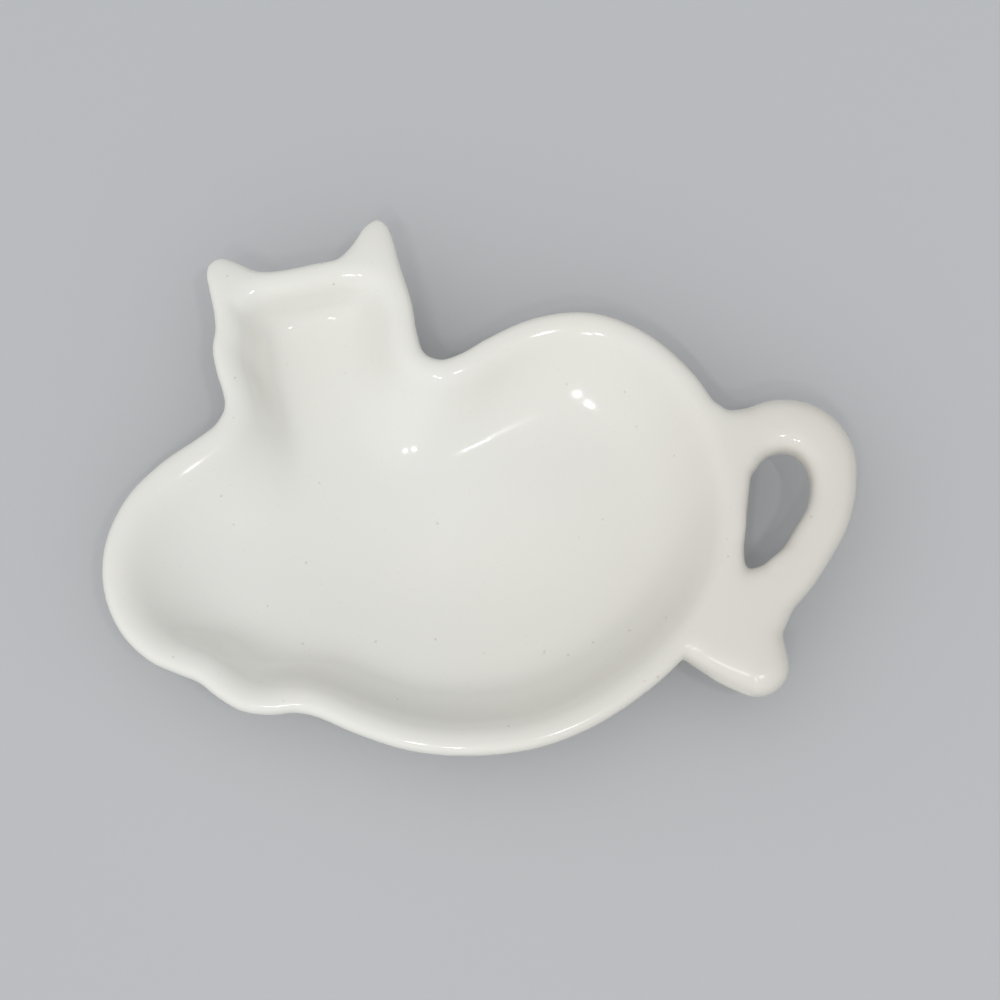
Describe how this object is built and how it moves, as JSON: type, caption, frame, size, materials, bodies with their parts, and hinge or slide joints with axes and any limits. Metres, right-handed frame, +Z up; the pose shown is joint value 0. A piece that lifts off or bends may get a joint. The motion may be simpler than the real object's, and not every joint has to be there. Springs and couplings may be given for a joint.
{
  "type": "tea bag rest",
  "caption": "Shallow glazed dish with the outline of a lying cat and a looped tail as a finger handle, to rest a used tea bag on.",
  "frame": {"origin": "middle of the outline seen from above, on the table under the foot ring", "axes": "+X from the cat's chest to its tail, +Y from its belly to its ears, +Z up"},
  "size_m": [0.1201, 0.0906, 0.017],
  "materials": {
    "glaze": "glossy clear glaze over white porcelain, slightly warm",
    "bare_foot": "matte bare fired clay"
  },
  "bodies": {
    "root": {"dish": "glaze", "tail_handle": "glaze", "foot_ring": "bare_foot"}
  },
  "joints": []
}
